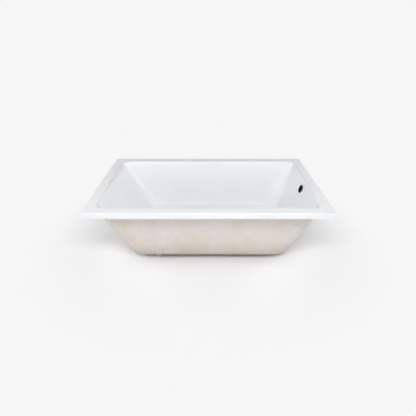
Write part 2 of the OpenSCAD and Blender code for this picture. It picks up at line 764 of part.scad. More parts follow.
module overflow_tube() color(black) down_overflow(elbow_socket_end - socket_depth + run_gap)
    tube(tube_run - tee_branch - elbow_socket_end + 2 * socket_depth - 2 * run_gap);

acrylic_shell();
insulating_foam();
glass_fibre_skin();
base_board();
front_batten();
back_batten();
backrest_batten();
drain_end_batten();
foot_inserts();
foot_lock_nuts();
foot_screw_front_head();
foot_screw_back_head();
foot_screw_front_drain();
foot_screw_back_drain();
foot_pad_front_head();
foot_pad_back_head();
foot_pad_front_drain();
foot_pad_back_drain();
drain_flange();
drain_seal();
drain_plug();
shoe_washer();
waste_shoe();
waste_tube();
waste_tee();
outlet_spigot();
slip_nuts();
slip_washers();
overflow_ring();
overflow_washer();
overflow_elbow();
overflow_tube();
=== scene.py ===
# Looks of a drop-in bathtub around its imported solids: smooth meshes from the same measures,
# procedural materials, a pale floor, soft studio light and the photograph's camera.
# Metres and radians, in the frame of the solids: +X to the drain end, +Y to the back, +Z up.
from math import cos, pi, radians, sin, sqrt, tan

import bmesh
import bpy
from mathutils import Matrix, Vector, noise


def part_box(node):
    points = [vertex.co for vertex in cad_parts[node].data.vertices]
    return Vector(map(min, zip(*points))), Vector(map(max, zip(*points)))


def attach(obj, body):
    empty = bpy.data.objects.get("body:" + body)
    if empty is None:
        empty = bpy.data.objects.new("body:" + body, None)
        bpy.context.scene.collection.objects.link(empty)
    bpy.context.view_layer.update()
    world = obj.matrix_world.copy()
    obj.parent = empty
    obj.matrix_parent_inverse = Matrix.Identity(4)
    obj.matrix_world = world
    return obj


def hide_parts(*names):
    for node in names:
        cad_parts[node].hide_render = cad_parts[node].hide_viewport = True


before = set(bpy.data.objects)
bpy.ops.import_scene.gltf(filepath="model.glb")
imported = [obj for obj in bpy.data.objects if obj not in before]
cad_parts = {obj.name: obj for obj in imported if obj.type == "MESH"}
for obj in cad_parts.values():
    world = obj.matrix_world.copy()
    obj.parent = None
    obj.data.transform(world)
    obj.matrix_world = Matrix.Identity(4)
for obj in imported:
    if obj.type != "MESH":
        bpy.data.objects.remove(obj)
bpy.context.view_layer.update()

MM = 0.001

# Measures that the frame gives
rim_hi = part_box("acrylic_shell")[1]
half_l, half_w, rim_z = rim_hi.x, rim_hi.y, rim_hi.z

# Measures of the basin and its layers, as in the solids
lip_height = 38 * MM
rim_corner = 12 * MM
rim_edge = 7 * MM
basin_depth = 391 * MM
floor_z = rim_z - basin_depth
deck_side = 71 * MM
deck_head = 77 * MM
deck_foot = 72 * MM
side_slope = radians(3.4)
head_slope = radians(27)
foot_slope = radians(17)
mouth_edge = 15 * MM
floor_fillet = 22 * MM
head_corner_top = 40 * MM
head_corner_low = 32 * MM
foot_corner_top = 40 * MM
foot_corner_low = 128 * MM
floor_fall = 0.003
drain_x = half_l - 270 * MM
acrylic_t = 4 * MM
foam_t = 15 * MM
skin_t = 5 * MM
board_t = 15 * MM
glue = 0.1 * MM
skin_fillet = 50 * MM
flange_fillet = 8 * MM
past = 1 * MM

foam_in = acrylic_t + glue
skin_in = foam_in + foam_t + glue
skin_out = skin_in + skin_t
board_bottom = basin_depth + foam_in + glue + board_t
skin_floor = board_bottom + glue
skin_bottom = skin_floor + skin_t

# Walls are (reach at the rim, slope). Layers are (offset, top, top radius, bottom, bottom radius).
HEAD_WALL = (half_l - deck_head, head_slope)
FOOT_WALL = (half_l - deck_foot, foot_slope)
LONG_WALL = (half_w - deck_side, side_slope)
BASIN_FACE = (0, 0, mouth_edge, basin_depth, floor_fillet)
ACRYLIC_BACK = (
    acrylic_t, acrylic_t, mouth_edge - acrylic_t, basin_depth + acrylic_t, floor_fillet + acrylic_t
)
SKIN_FACE = (skin_in, foam_in, 0, skin_floor, skin_fillet - skin_t)
SKIN_BACK = (skin_out, foam_in + skin_t, flange_fillet, skin_bottom, skin_fillet)

# Fineness of the smooth meshes
CORNER_STEPS = 20
ARC_STEPS = 12
WALL_STEPS = 24
LONG_CELLS = 90
SHORT_CELLS = 40
FLOOR_RINGS = 12
ARCH_STEPS = 24
SCREW_SEGMENTS = 36
SOCKET_SEGMENTS = 72
NUT_SEGMENTS = 144
HELD = (0.03, 0.5, 0.97)  # shares of a flat part's way, close to its rounded edges
on_axis = 1e-7  # a profile's point closer to the axis than this lies on it


def wall_reach(wall, layer, q):
    """Reach of a wall from the middle at depth q below the rim."""
    reach, slope = wall
    offset, top, top_r, bottom, bottom_r = layer
    line = reach + offset / cos(slope) - tan(slope) * q
    top_q, low_q = top + top_r, bottom - bottom_r
    if q < top_q - top_r * sin(slope):
        x = line + tan(slope) * (q - top_q) + top_r / cos(slope)
        return x - sqrt(max(0, top_r**2 - (top_q - q) ** 2))
    if q > low_q + bottom_r * sin(slope):
        x = line + tan(slope) * (q - low_q) - bottom_r / cos(slope)
        return x + sqrt(max(0, bottom_r**2 - (q - low_q) ** 2))
    return line


def corner_at(top, low, layer, q):
    """Radius of a corner at depth q, wider where the mouth's edge flares out."""
    offset = layer[0]
    straight = (offset, -1, 0, 2, 0)  # ends above the rim and below the floor, with no rounding
    flare = wall_reach(LONG_WALL, layer, q) - wall_reach(LONG_WALL, straight, q)
    return max(MM, top + (low - top) * q / basin_depth + offset + flare)


def loop(head, foot, side, r_head, r_foot, z, share=0.0):
    """A level rectangle with round corners, in cells along its sides, anticlockwise from above."""
    points = []
    for quarter in range(4):
        at_foot = quarter < 2
        r = r_foot if at_foot else r_head
        cx = foot - r if at_foot else r - head
        cy = r - side if quarter in (0, 3) else side - r
        for step in range(CORNER_STEPS + 1):
            a = pi / 2 * (quarter - 1) + pi / 2 * step / CORNER_STEPS
            points.append((cx + r * cos(a), cy + r * sin(a)))
    full = []
    row = CORNER_STEPS + 1
    for quarter in range(4):
        full += points[quarter * row:(quarter + 1) * row]
        a = points[(quarter + 1) * row - 1]
        b = points[(quarter + 1) * row % len(points)]
        cells = LONG_CELLS if quarter % 2 else SHORT_CELLS
        full += [
            (a[0] + (b[0] - a[0]) * i / cells, a[1] + (b[1] - a[1]) * i / cells)
            for i in range(1, cells)
        ]
    return [Vector((x, y, z + share * floor_fall * (drain_x - x))) for x, y in full]


def basin_loop(layer, q, share=0.0):
    """A layer's loop at depth q, with a share of the floor's fall."""
    return loop(
        wall_reach(HEAD_WALL, layer, q),
        wall_reach(FOOT_WALL, layer, q),
        wall_reach(LONG_WALL, layer, q),
        corner_at(head_corner_top, head_corner_low, layer, q),
        corner_at(foot_corner_top, foot_corner_low, layer, q),
        rim_z - q,
        share,
    )


def rim_loop(inset, q):
    """The rim's outline at depth q, drawn in by the inset."""
    r = max(MM, rim_corner - inset)
    return loop(half_l - inset, half_l - inset, half_w - inset, r, r, rim_z - q)


def face_loops(layer):
    """All loops of a layer's face from the deck down to the floor."""
    _, top, top_r, bottom, bottom_r = layer
    rolled = ARC_STEPS if top_r else 0
    loops = [
        basin_loop(layer, top + top_r * (1 - cos(pi / 2 * i / ARC_STEPS)))
        for i in range(rolled + 1)
    ]
    wall_top, wall_low = top + top_r, bottom - bottom_r
    for i in range(1, WALL_STEPS):
        loops.append(basin_loop(layer, wall_top + (wall_low - wall_top) * i / WALL_STEPS))
    for i in range(ARC_STEPS + 1):
        share = sin(pi / 2 * i / ARC_STEPS)
        loops.append(basin_loop(layer, wall_low + bottom_r * share, share))
    return loops


def between(a, b, shares):
    """Loops between two others, at shares of the way."""
    return [[p.lerp(q, s) for p, q in zip(a, b)] for s in shares]


def rim_roll(inset):
    """Loops of the rim's rolled edge, from the deck to the lip."""
    r = rim_edge - inset
    turns = [pi / 2 * i / ARC_STEPS for i in range(ARC_STEPS + 1)]
    return [rim_loop(rim_edge - r * sin(a), rim_edge - r * cos(a)) for a in turns]


def stack(name, loops):
    """A closed mesh object through a stack of loops, with flat ends."""
    n = len(loops[0])
    bm = bmesh.new()
    rows = [[bm.verts.new(p) for p in points] for points in loops]
    for upper, lower in zip(rows, rows[1:]):
        for k in range(n):
            bm.faces.new((upper[k], upper[(k + 1) % n], lower[(k + 1) % n], lower[k]))
    bm.faces.new(rows[0])
    bm.faces.new(rows[-1])
    return from_bmesh(name, bm)


def from_bmesh(name, bm):
    """An object from a bmesh, with its normals outside."""
    bmesh.ops.recalc_face_normals(bm, faces=bm.faces)
    mesh = bpy.data.meshes.new(name)
    bm.to_mesh(mesh)
    bm.free()
    made = bpy.data.objects.new(name, mesh)
    bpy.context.scene.collection.objects.link(made)
    return made


def smooth(obj, angle=radians(30)):
    """Smooth shading, with edges sharper than the angle kept."""
    obj.data.shade_smooth()
    obj.data.set_sharp_from_angle(angle=angle)
    return obj


def combine(obj, cutters, operation="DIFFERENCE"):
    """Cuts obj with the cutters, or joins or intersects it with them, and removes them."""
    for cutter in cutters:
        modifier = obj.modifiers.new("combine", "BOOLEAN")
        modifier.object = cutter
        modifier.operation = operation
        modifier.solver = "MANIFOLD"
    graph = bpy.context.evaluated_depsgraph_get()
    made = bpy.data.meshes.new_from_object(obj.evaluated_get(graph))
    obj.modifiers.clear()
    obj.data = made
    for cutter in cutters:
        bpy.data.objects.remove(cutter)


def revolved(name, profile, place=Matrix.Identity(4), segments=96, shape=None):
    """A closed solid of revolution about local Z. The profile is (radius, z) from end to end, and
    the shape, if there is one, gives the radius from (radius, z, angle)."""
    bm = bmesh.new()
    turns = [2 * pi * k / segments for k in range(segments)]
    rings = []
    for r, z in profile:
        if r < on_axis:
            rings.append([bm.verts.new(place @ Vector((0, 0, z)))])
            continue
        reach = [shape(r, z, a) if shape else r for a in turns]
        rings.append([
            bm.verts.new(place @ Vector((l * cos(a), l * sin(a), z))) for l, a in zip(reach, turns)
        ])
    hollow = profile[0][0] > on_axis
    following = rings[1:] + rings[:1] if hollow else rings[1:]
    for a, b in zip(rings, following):
        for k in range(segments):
            k2 = (k + 1) % segments
            quad = [a[k % len(a)], a[k2 % len(a)], b[k2 % len(b)], b[k % len(b)]]
            corners = [v for i, v in enumerate(quad) if v not in quad[:i]]
            if len(corners) > 2:
                bm.faces.new(corners)
    return from_bmesh(name, bm)


def cylinder(name, r, h, place):
    """A cylinder from local z 0 up to h."""
    return revolved(name, [(0, 0), (r, 0), (r, h), (0, h)], place)


def arc(r, z, radius, start, end, steps=6):
    """Points (radius, z) of an arc round (r, z), from one angle to another in degrees."""
    turns = [radians(start + (end - start) * i / steps) for i in range(steps + 1)]
    return [(r + radius * cos(a), z + radius * sin(a)) for a in turns]


def prism(bm, points, place, length):
    """A prism of an outline in local XY, from z 0 to length."""
    low, high = (
        [bm.verts.new(place @ Vector((x, y, z))) for x, y in points] for z in (0, length)
    )
    count = len(points)
    for k in range(count):
        bm.faces.new((low[k], low[(k + 1) % count], high[(k + 1) % count], high[k]))
    bm.faces.new(low)
    bm.faces.new(high)


def outlined(name, points, place, length):
    """An object of one prism."""
    bm = bmesh.new()
    prism(bm, points, place, length)
    return from_bmesh(name, bm)


def ribs(angles, points, thick, place=Matrix.Identity(4)):
    """Radial ribs round local Z at angles in degrees, from an outline of (radius, height)."""
    bm = bmesh.new()
    upright = Matrix.Rotation(pi / 2, 4, "X") @ at(0, 0, -thick / 2)
    for angle in angles:
        prism(bm, points, place @ Matrix.Rotation(radians(angle), 4, "Z") @ upright, thick)
    return from_bmesh("ribs", bm)


def thread(pitch, depth, low, high):
    """A shape for revolved: a right-hand thread between two heights, fading at its ends."""
    def shaped(r, z, a):
        fade = max(0.0, min(1.0, (z - low) / pitch, (high - z) / pitch))
        return r - depth * fade * abs((z / pitch - a / (2 * pi)) % 1 * 2 - 1)
    return shaped


def heights(low, high, step):
    """Evenly spaced heights from low to high, about a step apart."""
    count = max(1, round((high - low) / step))
    return [low + (high - low) * i / count for i in range(count + 1)]


def repeated(name, pattern, places):
    """One object with the pattern's mesh at each of the places."""
    bm = bmesh.new()
    for place in places:
        mesh = pattern.data.copy()
        mesh.transform(place)
        bm.from_mesh(mesh)
        bpy.data.meshes.remove(mesh)
    return from_bmesh(name, bm)


def at(x, y, z):
    """A move by x, y and z."""
    return Matrix.Translation((x, y, z))


# Measures of the waste and overflow set, as in the solids
washer_t = 3 * MM
fitting_wall = 3.4 * MM
tube_r = 16 * MM
tube_bore = 14 * MM
socket_r = tube_r + fitting_wall
socket_bore = tube_r + 0.1 * MM
socket_depth = 14 * MM
slip_nut_l = 15 * MM
slip_nut_r = 22.5 * MM
nut_front_t = 3 * MM
nut_gap = 2 * MM
channel_half = 24 * MM
shoe_r = 33 * MM
overflow_depth = 62 * MM
overflow_hole_r = 27 * MM
neck_r = 25.5 * MM
neck_wall = 3 * MM
elbow_reach = 21 * MM

# Frames of the drain, the waste tube, the overflow and its tube, with local Z along each
waste_z = floor_z - 25.5 * MM
DRAIN = at(drain_x, 0, 0)
overflow_x = FOOT_WALL[0] - tan(foot_slope) * overflow_depth
OVERFLOW = at(overflow_x, 0, rim_z - overflow_depth) @ Matrix.Rotation(pi / 2 + foot_slope, 4, "Y")
overflow_run = skin_out + washer_t + elbow_reach
TUBE_DOWN = OVERFLOW @ at(0, 0, overflow_run) @ Matrix.Rotation(pi / 2, 4, "Y")
bend = OVERFLOW @ Vector((0, 0, overflow_run))
tube_run = (bend.z - waste_z) / cos(foot_slope)
tee_x = bend.x - tube_run * sin(foot_slope)
nut_cover = slip_nut_l - washer_t - nut_front_t
tee_half = nut_cover + nut_gap + slip_nut_r * tan(foot_slope) + socket_r / cos(foot_slope)
tee_branch = nut_cover + (nut_gap + slip_nut_r * (1 + sin(foot_slope))) / cos(foot_slope)
elbow_r = neck_r + glue + fitting_wall
elbow_socket_end = elbow_r + socket_depth + fitting_wall


def along_waste(x):
    """A place on the waste's axis, with local Z towards the drain end."""
    return at(x, 0, waste_z) @ Matrix.Rotation(pi / 2, 4, "Y")


# Materials

def linear(r, g, b):
    """A colour as it shows on screen, from 0 to 255, in linear light."""
    def channel(v):
        v /= 255
        return v / 12.92 if v <= 0.04045 else ((v + 0.055) / 1.055) ** 2.4
    return (channel(r), channel(g), channel(b), 1)


def add(tree, kind, sockets=None, **settings):
    """A node with its settings, and values or links on its sockets."""
    made = tree.nodes.new(kind)
    for key, value in settings.items():
        setattr(made, key, value)
    for key, value in (sockets or {}).items():
        if isinstance(value, bpy.types.NodeSocket):
            tree.links.new(value, made.inputs[key])
        else:
            made.inputs[key].default_value = value
    return made


def new_material(name):
    """A material with an empty Principled shader, and its object coordinates."""
    material = bpy.data.materials.new(name)
    material.use_nodes = True
    tree = material.node_tree
    tree.nodes.clear()
    shader = add(tree, "ShaderNodeBsdfPrincipled")
    output = add(tree, "ShaderNodeOutputMaterial")
    tree.links.new(shader.outputs[0], output.inputs["Surface"])
    place = add(tree, "ShaderNodeTexCoord").outputs["Object"]
    return material, tree, shader, place


def noise_at(tree, place, scale, detail, roughness=0.5, distortion=0.0):
    """A noise's value, from 0 to 1."""
    return add(tree, "ShaderNodeTexNoise", {
        "Vector": place, "Scale": scale, "Detail": detail,
        "Roughness": roughness, "Distortion": distortion,
    }).outputs["Fac"]


def ramp(tree, fac, stops):
    """A colour ramp through (position, colour) stops."""
    made = add(tree, "ShaderNodeValToRGB", {"Fac": fac})
    elements = made.color_ramp.elements
    while len(elements) < len(stops):
        elements.new(0.5)
    for element, (position, colour) in zip(elements, stops):
        element.position = position
        element.color = colour
    return made.outputs["Color"]


def spread(tree, fac, low, high, start=0.3, end=0.7):
    """The value's range start to end, mapped to low to high."""
    return add(tree, "ShaderNodeMapRange", {
        "Value": fac, "From Min": start, "From Max": end, "To Min": low, "To Max": high,
    }).outputs["Result"]


def calculate(tree, operation, *values):
    """Result of a calculation with two or three values or links."""
    return add(tree, "ShaderNodeMath", dict(enumerate(values)), operation=operation).outputs[0]


def mix(tree, fac, a, b):
    """Colour a where fac is 0, and colour b where it is 1."""
    made = add(tree, "ShaderNodeMix", data_type="RGBA")
    for index, value in ((0, fac), (6, a), (7, b)):  # the node's sockets for colours
        if isinstance(value, bpy.types.NodeSocket):
            tree.links.new(value, made.inputs[index])
        else:
            made.inputs[index].default_value = value
    return made.outputs[2]


def bump(tree, layers):
    """Bump from (height, distance in metres, strength) layers, the first one lowest."""
    normal = None
    for height, distance, strength in layers:
        sockets = {"Height": height, "Distance": distance, "Strength": strength}
        if normal:
            sockets["Normal"] = normal
        normal = add(tree, "ShaderNodeBump", sockets).outputs["Normal"]
    return normal


def stretched(tree, place, scale, turn=(0, 0, 0)):
    """Coordinates turned, and then scaled along each axis."""
    return add(tree, "ShaderNodeMapping", {
        "Vector": place, "Scale": [1 / s for s in scale], "Rotation": turn,
    }, vector_type="TEXTURE").outputs["Vector"]


def finish(tree, shader, colour, rough, normal, **constants):
    """Links colour, roughness and normal, and sets the shader's constants."""
    tree.links.new(colour, shader.inputs["Base Color"])
    tree.links.new(rough, shader.inputs["Roughness"])
    tree.links.new(normal, shader.inputs["Normal"])
    for key, value in constants.items():
        shader.inputs[key.replace("_", " ")].default_value = value


def plain_material(name, light, dark, scale, rough, grain, metallic=0.0):
    """Moulded plastic, rubber or metal: clouded colour, uneven gloss and a fine grain in the
    surface. rough is the range of the gloss, and grain is (scale, depth in metres)."""
    material, tree, shader, place = new_material(name)
    clouds = noise_at(tree, place, scale, 4)
    colour = ramp(tree, clouds, [(0.3, dark), (0.7, light)])
    worn = noise_at(tree, place, scale * 5, 5, 0.6)
    grained = noise_at(tree, place, grain[0], 4, 0.55)
    finish(
        tree, shader, colour, spread(tree, worn, rough[0], rough[1]),
        bump(tree, [(grained, grain[1], 0.6)]), Metallic=metallic, IOR=1.5,
    )
    return material


def acrylic_material():
    """White gloss sheet, a little cool, with the faint waviness of vacuum forming."""
    material, tree, shader, place = new_material("acrylic_gloss")
    clouds = noise_at(tree, place, 3, 2)
    colour = ramp(tree, clouds, [(0.3, linear(239, 240, 242.5)), (0.7, linear(242, 243, 245))])
    wiped = noise_at(tree, place, 14, 4, 0.6)
    waves = noise_at(tree, place, 9, 1)
    peel = noise_at(tree, place, 420, 2)
    finish(
        tree, shader, colour, spread(tree, wiped, 0.05, 0.09),
        bump(tree, [(waves, 0.0006, 0.25), (peel, 0.00002, 0.4)]), IOR=1.49,
    )
    return material


# Chopped strands: their directions, as turns about X, Y and Z, and their fineness along and across
STRAND_TURNS = [(0, 0.45, 0.3), (0, -0.6, 0.9), (0, 1.25, 0.2), (0, -1.1, 1.9), (0, 0.1, -0.6)]
STRAND_SCALE = (40, 520, 520)

# Heights on the skin, in metres, between which painted shade darkens its foot and painted light
# pales its top, and how far these borders wander
PAINTED_SHADE_BAND = (0.06, 0.21)
PAINTED_LIGHT_BAND = (0.35, 0.43)
band_wander = 0.08


def skin_material():
    """Hand-laid glass fibre in beige resin: soft blotches, painted shade darkening the foot and
    painted light paling the top, chopped strands and a half-matt face."""
    material, tree, shader, place = new_material("glass_fibre_skin")
    patches = noise_at(tree, place, 5, 3, 0.5, 0.4)
    colour = ramp(tree, patches, [
        (0.30, linear(211, 201, 190)),
        (0.42, linear(215, 207, 198)),
        (0.52, linear(219, 212, 205)),
        (0.62, linear(216, 207, 204)),
        (0.74, linear(221, 215, 211)),
    ])
    tint = noise_at(tree, place, 16, 3, 0.6)
    colour = mix(tree, spread(tree, tint, 0, 0.4, 0.45, 0.7), colour, linear(211, 199, 184))
    height = add(tree, "ShaderNodeSeparateXYZ", {0: place}).outputs["Z"]
    edge = noise_at(tree, place, 9, 4, 0.6)
    level = calculate(tree, "MULTIPLY_ADD", edge, band_wander, height)
    # Painted shade: the skin darkens towards its foot, where the floor shades it
    colour = mix(tree, spread(tree, level, 0.9, 0, *PAINTED_SHADE_BAND), colour, linear(177, 164, 150))
    # Painted light: the skin pales towards its top, in the shade under the lip
    colour = mix(tree, spread(tree, level, 0, 0.9, *PAINTED_LIGHT_BAND), colour, linear(240, 234, 226))
    strands = None
    for turn in STRAND_TURNS:
        along = stretched(tree, place, STRAND_SCALE, turn)
        fibre = noise_at(tree, along, 1, 1, 0.5, 0.6)
        strands = fibre if strands is None else calculate(tree, "MAXIMUM", strands, fibre)
    colour = mix(tree, spread(tree, strands, 0, 0.4, 0.62, 0.74), colour, linear(230, 224, 215))
    resin = noise_at(tree, place, 34, 4, 0.6)
    finish(
        tree, shader, colour, spread(tree, resin, 0.42, 0.62),
        bump(tree, [(resin, 0.0010, 0.3), (strands, 0.0004, 0.4)]), IOR=1.52,
    )
    return material


def wood_material(name, light, dark, along):
    """Sawn timber or board: rings and pores stretched along the grain."""
    material, tree, shader, place = new_material(name)
    grain = stretched(tree, place, along)
    rings = noise_at(tree, grain, 9, 5, 0.6, 1.2)
    pores = noise_at(tree, grain, 90, 3, 0.7)
    colour = ramp(tree, rings, [(0.3, dark), (0.5, light), (0.62, dark), (0.8, light)])
    colour = mix(tree, spread(tree, pores, 0, 0.4, 0.5, 0.75), colour, dark)
    finish(
        tree, shader, colour, spread(tree, rings, 0.6, 0.8),
        bump(tree, [(rings, 0.0004, 0.4), (pores, 0.0002, 0.6)]), IOR=1.45,
    )
    return material


def foam_material():
    """Cut polyurethane foam: fine open cells and a patchy yellow."""
    material, tree, shader, place = new_material("insulating_foam")
    cells = add(tree, "ShaderNodeTexVoronoi", {"Vector": place, "Scale": 700}).outputs["Distance"]
    patches = noise_at(tree, place, 25, 4)
    colour = ramp(tree, patches, [(0.3, linear(214, 192, 136)), (0.7, linear(232, 214, 164))])
    colour = mix(tree, spread(tree, cells, 0.5, 0, 0, 0.5), colour, linear(170, 146, 96))
    finish(
        tree, shader, colour, spread(tree, patches, 0.8, 0.95),
        bump(tree, [(cells, 0.0006, 0.7)]),
    )
    return material


ACRYLIC = acrylic_material()
SKIN = skin_material()
FOAM = foam_material()
BOARD = wood_material("base_board", linear(178, 146, 104), linear(138, 106, 70), (1, 1, 3))
TIMBER_LONG = wood_material(
    "timber_long", linear(206, 172, 122), linear(170, 132, 86), (0.25, 3, 3)
)
TIMBER_CROSS = wood_material(
    "timber_cross", linear(204, 170, 122), linear(168, 130, 86), (3, 0.25, 3)
)
ZINC = plain_material(
    "zinc_steel", linear(205, 206, 210), linear(176, 178, 184), 120,
    (0.24, 0.42), (2500, 0.00002), metallic=1.0,
)
CHROME = plain_material(
    "chrome", linear(200, 202, 205), linear(190, 192, 196), 30,
    (0.05, 0.11), (900, 0.000005), metallic=1.0,
)
PAD_PLASTIC = plain_material(
    "foot_plastic", linear(249, 246, 240), linear(226, 221, 214), 60, (0.42, 0.58), (2200, 0.00004)
)
RUBBER = plain_material(
    "rubber", linear(52, 52, 53), linear(38, 38, 39), 80, (0.62, 0.8), (1800, 0.00005)
)
BLACK_PLASTIC = plain_material(
    "black_plastic", linear(34, 34, 36), linear(24, 24, 26), 50, (0.3, 0.45), (1600, 0.00003)
)
BLACK_GLOSS = plain_material(
    "black_gloss", linear(22, 22, 23), linear(16, 16, 17), 50, (0.16, 0.26), (1200, 0.00001)
)


def dress(obj, material):
    """Puts one material on every face of an object."""
    obj.data.materials.clear()
    obj.data.materials.append(material)


def place_piece(obj, material, body, slot, *nodes):
    """Finishes a new piece: its material, its body, and the solids that it stands for, which it
    hides. The slot is not used.
    """
    dress(obj, material)
    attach(obj, body)
    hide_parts(*nodes)


# The white shell: basin, deck, rolled rim and lip in one sheet

drain_hole_r = 26 * MM
drain_hole_h = 20 * MM


def overflow_hole():
    """A cutter for the overflow's hole, through the layers of the drain end's wall."""
    return cylinder("cut", overflow_hole_r, 4 * mouth_edge, OVERFLOW @ at(0, 0, -mouth_edge))


def acrylic_shell():
    """Loops from the floor up the basin's face, over deck, rim and lip, and back under them."""
    deck = rim_loop(rim_edge, 0)
    mouth = basin_loop(BASIN_FACE, 0)
    under = rim_loop(rim_edge, acrylic_t)
    back_top = basin_loop(ACRYLIC_BACK, acrylic_t)
    floor = basin_loop(BASIN_FACE, basin_depth, 1)
    lip_out = rim_loop(0, lip_height)
    lip_in = rim_loop(acrylic_t, lip_height)
    floor_edge = [p.lerp(Vector((0, 0, p.z)), 0.01) for p in floor]
    outer = rim_roll(0)
    inner = rim_roll(acrylic_t)
    loops = [floor_edge] + face_loops(BASIN_FACE)[::-1] + between(mouth, deck, HELD) + outer
    loops += between(outer[-1], lip_out, HELD) + [lip_out, lip_in]
    loops += between(lip_in, inner[-1], HELD) + inner[::-1]
    loops += between(under, back_top, HELD) + face_loops(ACRYLIC_BACK)
    shell = stack("bath_shell", loops)
    combine(shell, [
        cylinder("cut", drain_hole_r, drain_hole_h, at(drain_x, 0, floor_z - drain_hole_h / 2)),
        overflow_hole(),
    ])
    place_piece(smooth(shell), ACRYLIC, "root", "acrylic", "acrylic_shell")


# The outer skin: uneven as laid by hand, with the openings of the waste and the feet

def foot_middle(side, end):
    """Middle of a foot pad's solid."""
    low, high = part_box("foot_pad_" + side + "_" + end)
    return (low + high) / 2


FEET = {
    side + "_" + end: foot_middle(side, end)
    for side in ("front", "back") for end in ("head", "drain")
}
shoe_opening_r = 45 * MM
insert_r = 8.5 * MM
insert_low = 22 * MM
insert_cut_h = 25 * MM
floor_middle = 200 * MM
skin_wave = 0.9 * MM
slow_waves = 7.0  # per metre
fast_waves = 31.0


def glass_fibre_skin():
    """Loops from the floor up the skin's face, round the flange's edge, and down its back."""
    inner = face_loops(SKIN_FACE)
    outer = face_loops(SKIN_BACK)
    edge_top = rim_loop(rim_edge, SKIN_FACE[1])
    edge_low = rim_loop(rim_edge, SKIN_BACK[1])
    middle = [Vector((max(-floor_middle, min(floor_middle, p.x)), 0, p.z)) for p in outer[-1]]
    floor = between(outer[-1], middle, [0.01] + [i / FLOOR_RINGS for i in range(1, FLOOR_RINGS)])
    still = inner[::-1] + [edge_top, edge_low] + between(edge_low, outer[0], [0.5])
    loops = still + between(edge_low, outer[0], [0.95]) + outer + floor
    skin = stack("bath_skin", loops)
    wave_skin(skin, len(still) * len(still[0]))
    turns = [pi / 2 + pi * i / ARCH_STEPS for i in range(ARCH_STEPS + 1)]
    arch = [(channel_half * cos(a), channel_half * sin(a)) for a in turns]
    outline = arch + [(waste_z + past, -channel_half), (waste_z + past, channel_half)]
    combine(skin, [
        outlined("cut", outline, along_waste(drain_x), half_l - drain_x),
        cylinder("cut", shoe_opening_r, floor_z, at(drain_x, 0, -past)),
        overflow_hole(),
        *[
            cylinder("cut", insert_r, insert_cut_h, at(foot.x, foot.y, insert_low))
            for foot in FEET.values()
        ],
    ])
    place_piece(smooth(skin), SKIN, "root", "glass_fibre", "glass_fibre_skin")


def wave_skin(skin, first):
    """Moves the outer face inwards by up to skin_wave, from the vertex that it starts at."""
    verts = list(skin.data.vertices)[first:]
    normals = [v.normal.copy() for v in verts]
    for v, normal in zip(verts, normals):
        slow = noise.noise(v.co * slow_waves)
        fast = noise.noise(v.co * fast_waves + Vector((5, 3, 1)))
        v.co += normal * min(0.0, skin_wave * (0.75 * slow + 0.25 * fast - 0.5))


# Feet: pads with a tread and ribs, threaded screws on swivel heads, and lock nuts

pad_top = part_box("foot_pad_front_head")[1].z
swivel_z, screw_top = (corner.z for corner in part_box("foot_screw_front_head"))
nut_low, nut_top = (corner.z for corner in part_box("foot_lock_nuts"))
pad_r = 27 * MM
pad_disc_h = 12 * MM
pad_neck_r = 14 * MM
pad_edge = 3 * MM
tread_depth = 0.8 * MM
tread_step = 6 * MM
screw_r = 6 * MM
screw_hole_r = screw_r + 0.06 * MM
swivel_r = 9 * MM
swivel_h = 5 * MM
run_gap = 0.4 * MM
nut_half = 9.5 * MM
nut_sink = 0.8 * MM
thread_pitch = 1.75 * MM
thread_depth = 0.9 * MM
pad_rib_t = 2.2 * MM


def foot_pad():
    """A moulded pad: grooved tread, disc, ribbed neck and the seat of the swivel head."""
    slant, land = tread_depth / 2, 4 * MM
    profile = [(0, tread_depth)]
    for k in (1, 2):
        r = k * tread_step
        profile += [(r - slant, tread_depth), (r, 0)]
        profile += [(r + land, 0), (r + land + slant, tread_depth)]
    profile += [(3 * tread_step - slant, tread_depth), (3 * tread_step, 0)]
    profile += arc(pad_r - pad_edge, pad_edge, pad_edge, -90, 0)
    profile += arc(pad_r - pad_edge, pad_disc_h - pad_edge, pad_edge, 0, 90)
    profile += arc(pad_neck_r + pad_edge, pad_disc_h + pad_edge, pad_edge, -90, -180)
    profile += arc(pad_neck_r - MM, pad_top - MM, MM, 0, 90)
    seat = (swivel_z - run_gap, swivel_z + swivel_h + run_gap)
    profile += [(screw_hole_r, pad_top), (screw_hole_r, seat[1])]
    profile += [(swivel_r + run_gap, seat[1]), (swivel_r + run_gap, seat[0]), (0, seat[0])]
    pad = revolved("foot_pad", profile)
    low = pad_disc_h - MM
    rib = [(pad_neck_r - MM, low), (pad_r - 1.5 * pad_edge, low)]
    rib += [(pad_r - 2 * pad_edge, pad_disc_h + MM)]
    rib += [(pad_neck_r + MM, pad_top - 2 * MM), (pad_neck_r - MM, pad_top - 2 * MM)]
    combine(pad, [ribs(range(0, 360, 45), rib, pad_rib_t)], "UNION")
    return smooth(pad)


def foot_screw():
    """A screw with a right-hand thread above its swivel head."""
    head_top, edge = swivel_z + swivel_h, MM
    profile = [(0, swivel_z)] + arc(swivel_r - edge, swivel_z + edge, edge, -90, 0)
    profile += arc(swivel_r - edge, head_top - edge, edge, 0, 90)
    profile += [(screw_r, z) for z in heights(head_top, screw_top - edge, thread_pitch / 6)]
    profile += [(screw_r - edge, screw_top), (0, screw_top)]
    shape = thread(thread_pitch, thread_depth, head_top, screw_top - edge)
    screw = revolved("foot_screw", profile, segments=SCREW_SEGMENTS, shape=shape)
    return smooth(screw, radians(50))


